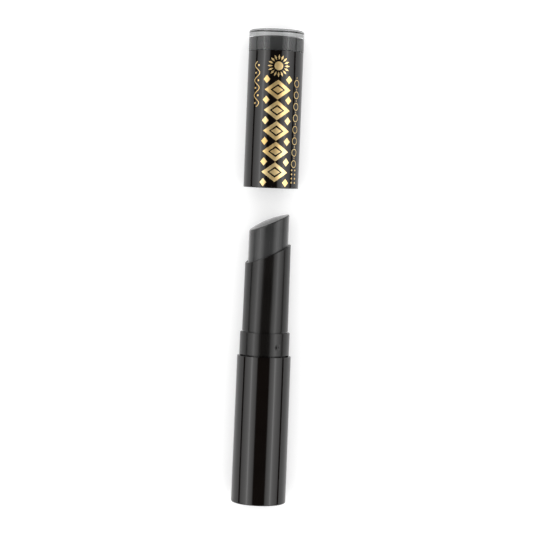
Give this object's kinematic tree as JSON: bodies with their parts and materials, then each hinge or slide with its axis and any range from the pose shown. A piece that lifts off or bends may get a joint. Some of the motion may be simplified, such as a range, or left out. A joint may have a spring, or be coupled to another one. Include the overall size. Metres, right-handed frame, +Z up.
{
  "type": "twist-up lipstick case",
  "caption": "Slim round twist-up lipstick case with a slanted sleeve, a colour bullet that a helix raises, and a long pull-off cap with a clear end",
  "frame": {"origin": "the centre of the casing's flat foot, on the case's long axis", "axes": "+X runs along the case from the foot to the mouth and on to the cap, +Z is up as the case lies on its side, and the mouth's low side faces +Y"},
  "size_m": [0.1375, 0.016, 0.016],
  "materials": {
    "casing": "glossy warm black moulded plastic",
    "sleeve": "glossy warm black moulded plastic",
    "cap": "glossy warm black plastic with a gold foil ornament",
    "mechanism": "natural moulded plastic",
    "drag_ring": "soft rubber",
    "carrier": "black moulded plastic",
    "bullet": null,
    "clear_end": null,
    "shade": "grey plastic in the colour of the bullet"
  },
  "bodies": {
    "base": {"base_casing": "casing", "spiral_tube": "mechanism", "drag_ring": "drag_ring"},
    "guide": {"guide_sleeve": "sleeve", "collar": "sleeve"},
    "bullet_lift": {"carrier": "carrier", "bullet": "bullet"},
    "cap": {"cap_shell": "cap", "cap_end": "clear_end", "shade_insert": "shade"}
  },
  "joints": [
    {"name": "guide_twist", "type": "hinge", "parent": "base", "child": "guide", "pos_m": [0, 0, 0], "axis": [1, 0, 0], "range_deg": [-270, 0]},
    {"name": "bullet_raise", "type": "slide", "parent": "guide", "child": "bullet_lift", "axis": [1, 0, 0], "range_m": [-0.012, 0]},
    {"name": "cap_pull", "type": "slide", "parent": "base", "child": "cap", "axis": [1, 0, 0], "range_m": [-0.04885, 0]}
  ],
  "couplings": [
    {"joint": "guide_twist", "follows": "bullet_raise", "rad_per_m": 392.7}
  ]
}
